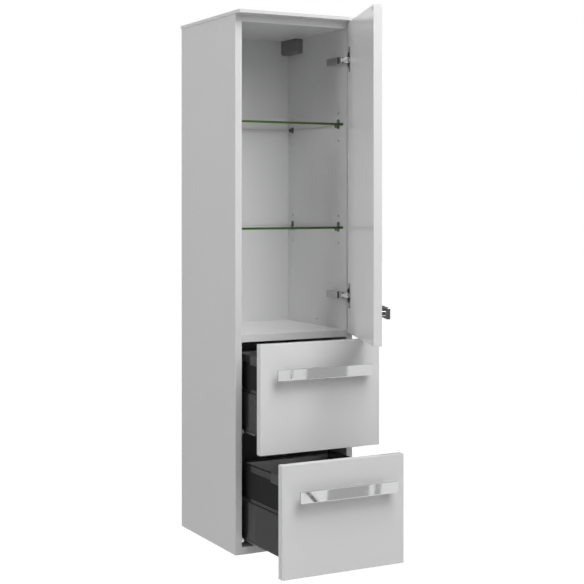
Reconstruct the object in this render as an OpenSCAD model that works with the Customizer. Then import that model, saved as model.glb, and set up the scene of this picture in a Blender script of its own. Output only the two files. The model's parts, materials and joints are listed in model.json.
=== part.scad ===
// Mid-height wall-hung bathroom cabinet: a door over two glass shelves, and two drawers.
// Units are millimetres. The wall is the plane y = 0, the front faces -y, z = 0 is the carcass bottom.

/* [Carcass] */
// Outside width of the carcass
carcass_width = 300; // [280:10:450]
// Height of the side panels
carcass_height = 1200; // [1100:10:1500]
// Depth of the side panels from the wall to their front edges
carcass_depth = 304; // [300:2:360]
// Thickness of the carcass boards
board = 16; // [15:1:19]
// Thickness of the back panel
back_thickness = 8; // [5:1:10]
// Gap between the back panel and the wall
back_inset = 6; // [4:1:10]
// Thickness of the cover plate on top
cover_thickness = 8; // [6:1:20]
// How far the cover plate stands out past the side panels' front edges
cover_front = 26; // [22:1:40]
// How far the cover plate stands out past each side panel
cover_side = 2; // [0:1:6]
// Size of the small bevels on the edges of boards
edge_ease = 0.6; // [0.3:0.1:1.2]

/* [Fronts] */
// Thickness of the door and the drawer fronts
front_thickness = 18; // [16:1:20]
// Height of each drawer front
front_height = 237.5; // [230:0.5:260]
// Gap between neighbouring fronts, and above the door
front_gap = 3; // [2:0.5:4]
// Distance of the fronts' side edges from the carcass sides
front_reveal = 1.5; // [1:0.5:2.5]
// Gap between a closed front and the carcass
front_standoff = 2; // [1.6:0.2:3]

/* [Pose] */
// Angle by which the door stands open
door_open = 70.4; // [0:0.1:95]
// How far the upper drawer is pulled out
upper_open = 102; // [0:1:265]
// How far the lower drawer is pulled out
lower_open = 203; // [0:1:265]

/* [Handles] */
// Distance of a handle bar's ends from the side edges of its front
handle_inset = 30.5; // [28:0.5:60]
// Height of a handle bar
handle_height = 24.5; // [15:0.5:30]
// Thickness of a handle bar
handle_thickness = 6.5; // [4:0.5:8]
// Distance of the bar's outer face from the front
handle_reach = 25; // [20:1:35]
// Distance of a post's middle from the end of the bar
post_inset = 16; // [8:1:30]
// Width of a post
post_width = 9; // [7:1:12]
// Height of a post
post_height = 10; // [8:1:14]
// Distance of the bar's middle from the near edge of its front
handle_edge = 65; // [25:1:100]
// Rounding of the bar's long edges
handle_round = 1.2; // [0.4:0.2:2]
// Diameter of a handle's threaded studs
handle_stud = 5; // [4:0.5:6]

/* [Drawer boxes] */
// Gap between a closed drawer and the back panel
box_rear_gap = 18; // [10:1:60]
// Gap between a drawer side and the carcass side
box_gap = 8; // [7:0.5:10]
// Thickness of a double-walled drawer side
side_thickness = 13; // [12:0.5:14]
// Height of a drawer side's lower edge above the lower edge of the front
side_bottom = 37.5; // [36:0.5:42]
// Height of a drawer side's shoulder above the lower edge of the front
side_top = 121; // [110:1:126]
// Height of the ledge that carries the insert, above the shoulder
ledge_height = 7; // [5:1:10]
// Height of the gallery rail's lower edge above the lower edge of the front
gallery_bottom = 186; // [160:1:190]
// Height of a gallery rail
gallery_height = 15.5; // [12:0.5:19]
// Width of a gallery rail
gallery_width = 7; // [6:0.5:9]
// Thickness of an insert
insert_thickness = 4; // [3:0.5:4.5]
// Height of the back wall's upper edge above the lower edge of the front
back_wall_top = 191; // [175:1:200]
// Thickness of the back wall
back_wall_thickness = 12; // [8:1:12]
// Thickness of the drawer bottom
drawer_bottom_thickness = 16; // [8:1:16]
// Length of the bracket that holds a gallery rail to the front
bracket_length = 84; // [30:2:100]
// How far that bracket reaches below the gallery rail
bracket_drop = 4.5; // [2:0.5:6]

/* [Shelves] */
// Thickness of a glass shelf
glass_thickness = 5; // [4:1:8]
// Gap between a glass shelf and each carcass side
glass_play = 1.5; // [1.2:0.1:2.5]
// Distance of a glass shelf's front edge from the side panels' front edges
glass_front = 12; // [8:1:30]
// Gap between a glass shelf and the back panel
glass_rear = 6; // [2:1:12]
// Height of the holes that carry the upper glass shelf
upper_hole = 958.5; // [920:0.5:980]
// Height of the holes that carry the lower glass shelf
lower_hole = 718.5; // [640:0.5:760]
// Distance between neighbouring shelf holes
hole_pitch = 32; // [25:1:40]
// Diameter of a shelf hole
hole_diameter = 5; // [4:0.5:6]
// Distance of the front holes from the side panels' front edges
hole_front = 37; // [30:1:50]
// Distance of the rear holes from the wall
hole_rear = 38; // [30:1:80]

/* [Hinges] */
// Distance of a hinge's middle from the end of the door
hinge_end = 87; // [70:1:150]
// Diameter of a hinge cup
cup_diameter = 35; // [34:0.5:36]
// Depth of a hinge cup in the door
cup_depth = 12.5; // [12.5:0.1:13.5]

/* [Hidden] */

// Faces of the side panels
x_out = carcass_width / 2;
x_in = x_out - board;
// Front edges of the side panels
y_front = -carcass_depth;
// Faces of the back panel
y_back_rear = -back_inset;
y_back_face = y_back_rear - back_thickness;
// Depth of the grooves that hold the back panel, and its play in them
groove_depth = 8;
groove_play = 0.5;
// Heights of the boards between the side panels
top_under = carcass_height - board;
shelf_middle = 2 * front_height + 1.5 * front_gap;
shelf_under = shelf_middle - board / 2;
shelf_top = shelf_middle + board / 2;
// Edges of the fronts
upper_z = front_height + front_gap;
door_z0 = 2 * upper_z;
door_z1 = carcass_height - front_gap;
front_half = x_out - front_reveal;
y_front_back = y_front - front_standoff;
y_front_face = y_front_back - front_thickness;
handle_length = 2 * (front_half - handle_inset);

// Dowels
dowel_diameter = 8;
dowel_in_side = 10;
dowel_in_board = 20;
dowel_play = 0.5;
dowel_edge = 52;
dowel_levels = [board / 2, shelf_middle, carcass_height - board / 2];

// Shelf holes and supports
hole_depth = 11;
support_depth = 10;
support_reach = 9;
support_width = 10;
support_foot = 5;
support_rise = 17.5;
tongue_thickness = 1.2;
lip_reach = 1.6;
lip_height = 2;
system_hole_y = 142;
system_hole_rise = 14.5;

// Hangers in the top corners
hanger_length = 64;
hanger_height = 29;
hanger_width = 18.8;
cover_wall = 1.2;
cover_length = 76;
cover_height = 35;
cover_round = 5;
cover_bevel = 4;
hook_width = 12;
hook_thickness = 2.5;
hook_inset = 3;
hook_drop = 19;
hook_length = 52;
hook_wall_gap = 1.5;
hook_lip = 9;
hanger_screw = 4;
hanger_screw_head = 7;
hanger_screw_depth = 11;
hanger_screw_steps = [14, 50];

// Hinge pivots, from the inner face and the front edge of the right side panel
outer_pivot = [-11, 5];
inner_pivot = [-18.3, -9];
cup_pivot = [7.7, -6.5];
inner_tip = [1.2, -6.5];
cup_axis = -5.8;
// Turns of the two links for each degree of door opening
outer_turn = -0.312;
inner_turn = -0.442;
hinge_levels = [door_z0 + hinge_end, door_z1 - hinge_end];
arm_inner = 6.2;
arm_outer = 7.4;
arm_top = -17.2;
arm_wall = 1.2;
arm_rear = 63;
arm_foot = -4;
arm_ease = 3;
arm_neck = 6;
arm_waist = 2.8;
nose_radius = 2;
outer_pin = 1.25;
inner_pin = 1.1;
cup_pin = 0.9;
pin_play = 0.05;
strip_inner = 4.2;
strip_outer = 5.8;
strip_half = 1;
strip_crank = [[2.4, 6], [12, 6.5]];
strip_web = 0.8;
plate_half = 3.6;
plate_front = 15;
plate_foot = 5;
plate_screw_steps = [24, 48];
plate_screw = 5;
plate_screw_head = 8.5;
plate_screw_depth = 11;
arm_cover = 0.9;
arm_cover_y0 = 12;
arm_cover_foot = -9;
cup_wall = 0.8;
cup_floor = 1;
flange = 1.1;
flange_ring = 37;
flange_reach = 29;
flange_offset = -7;
flange_width = 14;
cup_screw_step = 24;
cup_screw = 3.5;
cup_screw_head = 7;
cup_screw_depth = 9;

// Drawer boxes
box_length = y_back_face - box_rear_gap - back_wall_thickness - y_front_back;
box_half = x_in - box_gap;
box_inner = box_half - side_thickness;
box_mid = box_half - side_thickness / 2;
side_wall = 1.2;
ledge_width = 6.4;
insert_seat = 5;
flange_z = 45;
flange_thickness = 1.4;
flange_inward = 10;
bracket_wall = 1;
bracket_seat = 8;
bracket_block = 26;
bracket_block_z0 = 60;
bracket_block_z1 = 108;

// Runners
rail_z = 27;
rail_sheet = 1.5;
rail_front = 3;
rail_rear_gap = 17;
rail_length = y_back_face - rail_rear_gap - rail_front - y_front;
rail_flange = 44;
rail_nose = 6;
rail_nose_length = 14;
rail_nose_top = 36;
rail_strip_back = 12;
middle_front = 8;
middle_length = rail_length - 20;
middle_width = 7;
run_play = 0.05;
cap_sheet = 2.4;
cap_lip = 1;
cap_play = 0.1;
cap_drop = 3.4;
rail_screw = 5;
rail_screw_head = 8;
rail_screw_depth = 10;
rail_screw_rise = 37;
rail_screw_steps = [34, rail_length - 44];

// Fasteners and pads
screw_fn = 20;
handle_stud_post = 10;
handle_stud_front = 12;
pad_diameter = 8.5;
pad_thickness = 1.5;
pad_edge = 8;

white = [0.93, 0.93, 0.94];
steel = [0.72, 0.73, 0.75];
bright = [0.85, 0.86, 0.88];
anthracite = [0.28, 0.29, 0.31];
dark = [0.13, 0.14, 0.15];
clear = [0.7, 0.85, 0.8, 0.5];
timber = [0.78, 0.62, 0.42];

// A block between two corners
module block(a, b) {
    translate(a) cube(b - a);
}

// A block whose edges are all bevelled
module eased_block(a, b, e) {
    hull() {
        block(a + [0, e, e], b - [0, e, e]);
        block(a + [e, 0, e], b - [e, 0, e]);
        block(a + [e, e, 0], b - [e, e, 0]);
    }
}

// A round bar along x, from x0 to x1
module rod_x(x0, x1, y, z, d) {
    translate([x0, y, z]) rotate([0, 90, 0]) cylinder(h = x1 - x0, d = d);
}

// A round bar along y, from y0 to y1
module rod_y(x, y0, y1, z, d) {
    translate([x, y0, z]) rotate([-90, 0, 0]) cylinder(h = y1 - y0, d = d);
}

// A shape and its mirror image on the other side of the cabinet
module both_sides() {
    children();
    mirror([1, 0, 0]) children();
}

// A flat outline in the plane of x and z, stretched from y0 to y1
module along_y(y0, y1) {
    translate([0, y1, 0]) rotate([90, 0, 0]) linear_extrude(y1 - y0) children();
}

// A rectangle with round corners, from a to b
module round_rect(a, b, r) {
    translate(a + [r, r]) offset(r = r, $fn = 16) square(b - a - [2 * r, 2 * r]);
}

// Dowels on both sides, longer at each end by the play
module dowel_set(play) {
    for (z = dowel_levels, y = [-dowel_edge, y_front + dowel_edge])
        both_sides()
            rod_x(x_in - dowel_in_board - play, x_in + dowel_in_side + play, y, z,
                dowel_diameter, $fn = 24);
}

// The back panel, with the play it has in its grooves cut away all round
module back_blank(play) {
    half = x_in + groove_depth - play;
    block([-half, y_back_face, board - groove_depth + play],
        [half, y_back_rear, top_under + groove_depth - play]);
}

// Shelf holes of the right side panel
module shelf_holes() {
    for (z = [upper_hole, lower_hole], step = [-1:1], y = [y_front + hole_front, -hole_rear])
        rod_x(x_in - 1, x_in + hole_depth, y, z + step * hole_pitch, hole_diameter,
            $fn = 20);
}

// Screw holes of the right side panel
module panel_screw_holes() {
    for (z = hinge_levels, step = plate_screw_steps)
        rod_x(x_in - 1, x_in + plate_screw_depth, y_front + step, z, plate_screw,
            $fn = screw_fn);
    panel_common_holes();
}

// Screw holes that both side panels have
module panel_common_holes() {
    for (z0 = [0, upper_z], step = rail_screw_steps)
        rod_x(x_in - 1, x_in + rail_screw_depth, y_front + rail_front + step,
            z0 + rail_screw_rise, rail_screw, $fn = screw_fn);
    for (step = hanger_screw_steps)
        rod_x(x_in - 1, x_in + hanger_screw_depth, y_back_face - step,
            top_under - hanger_height / 2, hanger_screw, $fn = screw_fn);
    rod_x(x_in - 1, x_in + hole_depth, y_front + system_hole_y, shelf_top + system_hole_rise,
        hole_diameter, $fn = 20);
}

// The right side panel before its own screw holes
module panel_blank() {
    difference() {
        eased_block([x_in, y_front, 0], [x_out, 0, carcass_height], edge_ease);
        back_blank(0);
        dowel_set(dowel_play);
        shelf_holes();
    }
}

module side_panel_left() {
    color(white) mirror([1, 0, 0]) difference() {
        panel_blank();
        panel_common_holes();
    }
}

module side_panel_right() {
    color(white) difference() {
        panel_blank();
        panel_screw_holes();
    }
}

module top_panel() {
    color(white) difference() {
        block([-x_in, y_front, top_under], [x_in, 0, carcass_height]);
        back_blank(0);
        dowel_set(dowel_play);
    }
}

module cover_plate() {
    half = x_out + cover_side;
    color(white)
        eased_block([-half, y_front - cover_front, carcass_height],
            [half, 0, carcass_height + cover_thickness], edge_ease);
}

module fixed_shelf() {
    color(white) difference() {
        block([-x_in, y_front, shelf_under], [x_in, y_back_face, shelf_top]);
        dowel_set(dowel_play);
    }
}

module bottom_panel() {
    color(white) difference() {
        block([-x_in, y_front, 0], [x_in, 0, board]);
        back_blank(0);
        dowel_set(dowel_play);
    }
}

module back_panel() {
    color(white) difference() {
        back_blank(groove_play);
        both_sides() hook_shape(1);
    }
}

module carcass_dowels() {
    color(timber) dowel_set(0);
}

// The flat strip of a hook, which passes through the back panel, larger all round by a play
module hook_strip(play) {
    x1 = x_in - hook_inset;
    z1 = top_under - hook_drop;
    block([x1 - hook_width - play, y_back_face - hook_length, z1 - hook_thickness - play],
        [x1 + play, -hook_wall_gap, z1 + play]);
}

// A hook with its lip, which points down behind the back panel
module hook_shape(play) {
    hook_strip(play);
    x1 = x_in - hook_inset;
    z1 = top_under - hook_drop;
    block([x1 - hook_width - play, -hook_wall_gap - hook_thickness, z1 - hook_lip - play],
        [x1 + play, -hook_wall_gap, z1 + play]);
}

// The screws of one hanger, and the bores they sit in
module hanger_screw_set(cut) {
    for (step = hanger_screw_steps) {
        y = y_back_face - step;
        z = top_under - hanger_height / 2;
        head_x = x_in - hanger_width + 6;
        rod_x(head_x, x_in + hanger_screw_depth - 1 + cut, y, z, hanger_screw, $fn = screw_fn);
        rod_x(head_x - (cut > 0 ? 7 : 2.5), head_x, y, z, hanger_screw_head, $fn = screw_fn);
    }
}

module hanger_shape() {
    difference() {
        block([x_in - hanger_width, y_back_face - hanger_length, top_under - hanger_height],
            [x_in, y_back_face, top_under]);
        hook_strip(0);
        hanger_screw_set(1);
    }
}

module hanger_left() {
    color(steel) mirror([1, 0, 0]) hanger_shape();
}

module hanger_right() {
    color(steel) hanger_shape();
}

module hanger_hooks() {
    color(steel) both_sides() hook_shape(0);
}

// Outline of a hanger cap with its round front corner, smaller by an inset at the front and
// inside, and longer by a margin at the side panel and the back
module cap_outline(inset, past) {
    x0 = x_in - hanger_width - cover_wall + inset;
    y0 = y_back_face - cover_length + inset;
    long_x = x_in + past - x0;
    long_y = y_back_face + past - y0;
    translate([x0, y0]) {
        translate([cover_round, cover_round]) circle(r = cover_round, $fn = 40);
        translate([cover_round, 0]) square([long_x - cover_round, long_y]);
        translate([0, cover_round]) square([long_x, long_y - cover_round]);
    }
}

// A cap's solid form, bevelled at its lower edge, with an inset and a margin as above
module cap_body(inset, past) {
    z0 = top_under - cover_height + inset;
    hull() {
        translate([0, 0, z0]) linear_extrude(0.01) cap_outline(inset + cover_bevel, past);
        translate([0, 0, z0 + cover_bevel])
            linear_extrude(top_under + past - z0 - cover_bevel) cap_outline(inset, past);
    }
}

// A cap that is open to the side panel, the back and the top
module hanger_cap() {
    difference() {
        cap_body(0, 0);
        cap_body(cover_wall, 1);
    }
}

module hanger_cover_left() {
    color(dark) mirror([1, 0, 0]) hanger_cap();
}

module hanger_cover_right() {
    color(dark) hanger_cap();
}

module hanger_screws() {
    color(steel) both_sides() hanger_screw_set(0);
}

// A glass shelf that lies on pins in the holes at one height
module glass_shelf(hole_z) {
    half = x_in - glass_play;
    under = hole_z + hole_diameter / 2;
    eased_block([-half, y_front + glass_front, under],
        [half, y_back_face - glass_rear, under + glass_thickness], 0.4);
}

module glass_shelf_upper() {
    color(clear) glass_shelf(upper_hole);
}

module glass_shelf_lower() {
    color(clear) glass_shelf(lower_hole);
}

// One support: a pin with a tongue under the glass, and an upright with a lip over it
module shelf_support(y, hole_z) {
    under = hole_z + hole_diameter / 2;
    top = under + glass_thickness;
    rod_x(x_in - support_reach, x_in + support_depth, y, hole_z, hole_diameter, $fn = 20);
    block([x_in - support_reach, y - support_width / 2, under - tongue_thickness],
        [x_in, y + support_width / 2, under]);
    translate([x_in - glass_play, y, hole_z]) rotate([90, 0, 90])
        linear_extrude(glass_play)
            round_rect([-support_width / 2, -support_foot], [support_width / 2, support_rise], 3);
    block([x_in - glass_play - lip_reach, y - support_width / 4, top],
        [x_in, y + support_width / 4, top + lip_height]);
}

// The four supports of one glass shelf
module shelf_support_set(hole_z) {
    both_sides() {
        shelf_support(y_front + hole_front, hole_z);
        shelf_support(-hole_rear, hole_z);
    }
}

module shelf_supports_upper() {
    color(clear) shelf_support_set(upper_hole);
}

module shelf_supports_lower() {
    color(clear) shelf_support_set(lower_hole);
}

// Puts shapes drawn around a hinge's middle at both hinges
module at_hinges() {
    for (z = hinge_levels) translate([x_in, y_front, z]) children();
}

// Stretches a flat outline from z = a to z = b and mirrors it to below
module two_walls(a, b) {
    for (s = [0, 1]) mirror([0, 0, s]) translate([0, 0, a]) linear_extrude(b - a) children();
}

// A turn about an upright axis through a point of the hinge
module turn_about(p, angle) {
    translate([p[0], p[1], 0]) rotate([0, 0, angle]) translate([-p[0], -p[1], 0]) children();
}

// Brings the outer links from the closed to the shown pose
module outer_pose() {
    turn_about([x_in, y_front] + outer_pivot, outer_turn * door_open) children();
}

// Brings the inner links from the closed to the shown pose
module inner_pose() {
    turn_about([x_in, y_front] + inner_pivot, inner_turn * door_open) children();
}

// Brings the door from the closed to the shown pose
module door_pose() {
    outer_pose() turn_about([x_in, y_front] + cup_pivot, (1 - outer_turn) * door_open)
        children();
}

module hinge_plates() {
    color(steel) at_hinges() difference() {
        block([arm_top + arm_wall, plate_front, -arm_inner],
            [0, arm_rear - arm_ease, arm_inner]);
        for (step = plate_screw_steps) {
            rod_x(-plate_foot - 1, 1, step, 0, plate_screw, $fn = screw_fn);
            rod_x(arm_top, -plate_foot, step, 0, plate_screw_head, $fn = screw_fn);
        }
    }
}

// Outline of an arm's side wall, from its rear end to the nose at the inner pivot
module arm_wall_outline() {
    polygon([[arm_foot, arm_rear - arm_ease], [arm_foot - arm_ease, arm_rear],
        [arm_top + arm_ease, arm_rear], [arm_top, arm_rear - arm_ease], [arm_top, arm_neck],
        inner_pivot + nose_radius * [-0.95, 0.3], inner_pivot,
        inner_pivot + nose_radius * [0.95, -0.3], inner_pivot + nose_radius * [1.75, 3],
        outer_pivot + arm_waist * [1, -1], outer_pivot + arm_waist * [1.3, 1.4],
        [arm_foot, plate_front]]);
    translate(inner_pivot) circle(r = nose_radius, $fn = 24);
}

module hinge_arms() {
    color(bright) at_hinges() {
        two_walls(arm_inner, arm_outer) arm_wall_outline();
        translate([0, 0, -arm_inner]) linear_extrude(2 * arm_inner)
            polygon([[arm_top, arm_rear - arm_ease], [arm_top, arm_neck],
                inner_pivot + nose_radius * [-0.6, 2], inner_pivot + nose_radius * [0, 1.9],
                [arm_top + arm_wall, arm_neck], [arm_top + arm_wall, arm_rear - arm_ease]]);
        translate([0, 0, -arm_inner]) linear_extrude(2 * arm_inner) {
            translate(outer_pivot) circle(r = outer_pin, $fn = 20);
            translate(inner_pivot) circle(r = inner_pin, $fn = 20);
        }
    }
}

// A screw along x with its head on the side of smaller x, and a cross in the head
module cross_screw_x(length, shank, head, rise) {
    rod_x(0, length, 0, 0, shank, $fn = screw_fn);
    difference() {
        rod_x(-rise, 0, 0, 0, head, $fn = screw_fn);
        block([-rise - 1, -head / 4, -0.5], [-rise / 2, head / 4, 0.5]);
        block([-rise - 1, -0.5, -head / 4], [-rise / 2, 0.5, head / 4]);
    }
}

module hinge_plate_screws() {
    color(steel) at_hinges() for (step = plate_screw_steps)
        translate([-plate_foot, step, 0])
            cross_screw_x(plate_foot + plate_screw_depth - 1, plate_screw, plate_screw_head, 1.8);
}

module hinge_arm_covers() {
    color(bright) at_hinges() {
        translate([0, 0, -arm_outer]) linear_extrude(2 * arm_outer)
            polygon([[arm_top, arm_cover_y0], [arm_top, arm_rear - arm_ease],
                [arm_top - arm_cover, arm_rear - arm_ease], [arm_top - arm_cover, arm_cover_y0]]);
        two_walls(arm_outer, arm_outer + arm_cover)
            polygon([[arm_top - arm_cover, arm_cover_y0],
                [arm_top - arm_cover, arm_rear - arm_ease], [arm_top + arm_ease, arm_rear],
                [arm_cover_foot - 1, arm_rear], [arm_cover_foot, arm_rear - 1],
                [arm_cover_foot, arm_cover_y0 + arm_neck]]);
    }
}

// Places outlines drawn in the outer link's own frame: x runs from the cup pivot to the arm
module outer_link_frame() {
    reach = outer_pivot - cup_pivot;
    translate(cup_pivot) rotate(atan2(reach[1], reach[0])) children();
}

// A point of the web between the strips, at a share t of the way from the crank to the arm
function web_point(t, side) = (1 - t) * strip_crank[1]
    + t * [norm(outer_pivot - cup_pivot), 0] + [0, side * strip_web];

module hinge_outer_links() {
    span = norm(outer_pivot - cup_pivot);
    color(bright) outer_pose() at_hinges() {
        two_walls(strip_inner, strip_outer) outer_link_frame() difference() {
            union() {
                polygon([strip_half * [-1.5, 0.9], strip_crank[0] + strip_half * [-0.9, 1],
                    strip_crank[1] + strip_half * [0.3, 1], [span, 0] + strip_half * [1.2, 1.9],
                    [span, 0] - strip_half * [1.2, 1.9], strip_crank[1] - strip_half * [0.3, 1],
                    strip_crank[0] + strip_half * [0.8, -1], strip_half * [1.5, -0.9]]);
                circle(r = 1.8, $fn = 24);
                translate([span, 0]) circle(r = 2.4, $fn = 24);
            }
            circle(r = cup_pin + pin_play, $fn = 24);
            translate([span, 0]) circle(r = outer_pin + pin_play, $fn = 24);
        }
        translate([0, 0, -strip_inner]) linear_extrude(2 * strip_inner) outer_link_frame()
            polygon([web_point(0.2, -1), web_point(0.2, 1), web_point(0.7, 1),
                web_point(0.7, -1)]);
    }
}

module hinge_inner_links() {
    reach = inner_tip - inner_pivot;
    span = norm(reach);
    color(bright) inner_pose() at_hinges()
        translate([0, 0, -plate_half]) linear_extrude(2 * plate_half)
            translate(inner_pivot) rotate(atan2(reach[1], reach[0])) difference() {
                union() {
                    translate([0, -1.1]) square([span, 2.2]);
                    circle(r = 1.95, $fn = 24);
                    translate([span, 0]) circle(r = 1.5, $fn = 24);
                }
                circle(r = inner_pin + pin_play, $fn = 24);
            }
}

// The screws of one cup, and the bores they sit in
module cup_screw_set(head) {
    for (s = [-1, 1]) translate([cup_axis + flange_offset, -front_standoff + flange, s * cup_screw_step])
        rotate([0, 0, -90]) if (head) {
            cross_screw_x(flange + cup_screw_depth, cup_screw, cup_screw_head, 1.2);
        } else {
            rod_x(-1, flange + cup_screw_depth + 0.5, 0, 0, cup_screw, $fn = screw_fn);
        }
}

// Brings hinge shapes of the door to the closed door's inner face
module cup_shape() {
    y0 = -front_standoff;
    difference() {
        union() {
            rod_y(cup_axis, y0 - cup_depth, y0, 0, cup_diameter, $fn = 64);
            rod_y(cup_axis, y0, y0 + flange, 0, flange_ring, $fn = 64);
            along_y(y0, y0 + flange)
                round_rect([cup_axis + flange_offset - flange_width / 2, -flange_reach],
                    [cup_axis + flange_offset + flange_width / 2, flange_reach], 5);
        }
        rod_y(cup_axis, y0 - cup_depth + cup_floor, y0 + flange + 1, 0,
            cup_diameter - 2 * cup_wall, $fn = 64);
        cup_screw_set(false);
    }
    intersection() {
        two_walls(arm_inner, arm_outer + 0.8)
            translate(cup_pivot + [-2, -3]) square([8, 5]);
        rod_y(cup_axis, y0 - cup_depth, y0, 0, cup_diameter - 1, $fn = 64);
    }
    two_walls(strip_inner - 0.3, arm_inner + 0.3)
        translate(cup_pivot) circle(r = cup_pin, $fn = 20);
}

module hinge_cups() {
    color(bright) door_pose() at_hinges() cup_shape();
}

module hinge_cup_screws() {
    color(steel) door_pose() at_hinges() cup_screw_set(true);
}

// The two studs that hold a handle on the face at y, at height z; play makes their holes
module handle_stud_pair(y, z, play) {
    for (s = [-1, 1])
        rod_y(s * (handle_length / 2 - post_inset), y - handle_stud_post - play,
            y + handle_stud_front + play, z, handle_stud, $fn = screw_fn);
}

// A handle bar on two posts, in front of the face at y, with its middle at height z
module handle_shape(y, z) {
    half = handle_length / 2;
    difference() {
        union() {
            eased_block([-half, y - handle_reach, z - handle_height / 2],
                [half, y - handle_reach + handle_thickness, z + handle_height / 2], handle_round);
            for (s = [-1, 1])
                along_y(y - handle_reach + handle_thickness, y)
                    translate([s * (half - post_inset), z])
                        round_rect([-post_width / 2, -post_height / 2],
                            [post_width / 2, post_height / 2], 1.5);
        }
        handle_stud_pair(y, z, 0.5);
    }
}

module door_panel() {
    color(white) door_pose() difference() {
        eased_block([-front_half, y_front_face, door_z0], [front_half, y_front_back, door_z1],
            edge_ease);
        at_hinges() {
            rod_y(cup_axis, -front_standoff - cup_depth, 1, 0, cup_diameter, $fn = 64);
            cup_screw_set(false);
        }
        handle_stud_pair(y_front_face, door_z0 + handle_edge, 0.5);
    }
}

module door_handle() {
    color(bright) door_pose()
        handle_shape(y_front_face, door_z0 + handle_edge);
}

module door_handle_studs() {
    color(steel) door_pose()
        handle_stud_pair(y_front_face, door_z0 + handle_edge, 0);
}

module door_bumpers() {
    color(clear) door_pose() for (z = [door_z0 + pad_edge, door_z1 - pad_edge])
        rod_y(-front_half + pad_edge, y_front_back, y_front_back + pad_thickness, z,
            pad_diameter, $fn = 32);
}

// Brings drawer shapes, drawn from the front's lower edge and inner face, to their pose
module drawer_at(z, pull) {
    translate([0, y_front_back - pull, z]) children();
}

module at_upper() {
    drawer_at(upper_z, upper_open) children();
}

module at_lower() {
    drawer_at(0, lower_open) children();
}

// Height of a drawer handle above the front's lower edge
drawer_handle_z = front_height - handle_edge;

module drawer_front() {
    difference() {
        eased_block([-front_half, -front_thickness, 0], [front_half, 0, front_height], edge_ease);
        handle_stud_pair(-front_thickness, drawer_handle_z, 0.5);
    }
}

// Outline of the right drawer side: a hollow wall with a shoulder, a ledge and a floor flange
module side_outline() {
    ledge = ledge_width / 2;
    top = side_top + ledge_height;
    difference() {
        polygon([[box_half, side_bottom], [box_half, side_top - 4], [box_half - 1, side_top - 1.5],
            [box_mid + ledge, side_top], [box_mid + ledge, top], [box_mid - ledge, top],
            [box_mid - ledge, side_top], [box_inner + 1, side_top - 1.5],
            [box_inner, side_top - 4], [box_inner, flange_z + flange_thickness],
            [box_inner - flange_inward, flange_z + flange_thickness],
            [box_inner - flange_inward, flange_z], [box_inner, flange_z],
            [box_inner, side_bottom]]);
        translate([box_inner + side_wall, side_bottom + side_wall])
            square([side_thickness - 2 * side_wall, side_top - side_bottom - 6]);
        translate([box_mid - insert_thickness / 2, top - insert_seat])
            square([insert_thickness, insert_seat + 1]);
    }
}

module drawer_side() {
    along_y(0, box_length) side_outline();
}

module drawer_inserts() {
    z0 = side_top + ledge_height - insert_seat;
    both_sides() block([box_mid - insert_thickness / 2, 0, z0],
        [box_mid + insert_thickness / 2, box_length, gallery_bottom]);
}

// Outline of the right gallery rail, wider and higher by a margin, and lower by a drop
module gallery_outline(margin, drop) {
    round_rect([box_mid - gallery_width / 2 - margin, gallery_bottom - drop],
        [box_mid + gallery_width / 2 + margin, gallery_bottom + gallery_height + margin],
        2 + margin);
}

module drawer_gallery() {
    along_y(bracket_seat, box_length) gallery_outline(0, 0);
}

// The parts that join the sides and gallery rails to the front
module drawer_brackets() {
    both_sides() {
        difference() {
            along_y(0, bracket_length) gallery_outline(bracket_wall, bracket_drop);
            along_y(bracket_seat, bracket_length + 1) gallery_outline(0, 0);
            block([box_mid - insert_thickness / 2, -1, gallery_bottom - bracket_drop - 1],
                [box_mid + insert_thickness / 2, bracket_length + 1, gallery_bottom]);
        }
        block([box_inner + side_wall, 0, bracket_block_z0],
            [box_half - side_wall, bracket_block, bracket_block_z1]);
    }
}

module drawer_back_wall() {
    eased_block([-box_half, box_length, side_bottom],
        [box_half, box_length + back_wall_thickness, back_wall_top], 0.5);
}

module drawer_bottom() {
    z0 = flange_z + flange_thickness;
    block([-box_inner, 0, z0], [box_inner, box_length, z0 + drawer_bottom_thickness]);
}

// The cap-shaped rail under the right drawer side
module drawer_rail() {
    half = middle_width / 2 + cap_play + cap_lip;
    along_y(0, box_length) translate([box_mid, 0]) difference() {
        translate([-half, side_bottom - cap_sheet - cap_drop])
            square([2 * half, cap_sheet + cap_drop]);
        translate([-half + cap_lip, side_bottom - cap_sheet - cap_drop - 1])
            square([2 * (half - cap_lip), cap_drop + 1]);
    }
}

// The rail between the drawer's and the cabinet's, from its closed pose moved by half the pull
module middle_rail(pull) {
    y0 = y_front + middle_front - pull / 2;
    z0 = rail_z + rail_sheet + run_play;
    z1 = side_bottom - cap_sheet - run_play;
    both_sides() along_y(y0, y0 + middle_length) translate([box_mid, 0]) difference() {
        translate([-middle_width / 2, z0]) square([middle_width, z1 - z0]);
        translate([-middle_width / 2 + 1.5, z0 + 1.5]) square([middle_width - 3, z1 - z0 - 3]);
    }
}

// The rail on the right side panel, with a moulded nose at its front end
module cabinet_rail(z) {
    y0 = y_front + rail_front;
    lip_x = box_mid - middle_width / 2 - cap_lip - 2 * cap_play - 0.6 - rail_sheet;
    difference() {
        translate([0, 0, z]) union() {
            block([lip_x, y0 + rail_strip_back, rail_z],
                [x_in, y0 + rail_length, rail_z + rail_sheet]);
            block([lip_x, y0 + rail_strip_back, rail_z],
                [lip_x + rail_sheet, y0 + rail_length, rail_z + 3 * rail_sheet]);
            block([x_in - rail_sheet, y0, rail_z], [x_in, y0 + rail_length, rail_flange]);
            block([x_in - rail_nose, y0, rail_z], [x_in, y0 + rail_nose_length, rail_nose_top]);
        }
        for (step = rail_screw_steps)
            rod_x(x_in - rail_sheet - 1, x_in + 1, y0 + step, z + rail_screw_rise,
                rail_screw, $fn = screw_fn);
    }
}

module upper_front() {
    color(white) at_upper() drawer_front();
}

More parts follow.
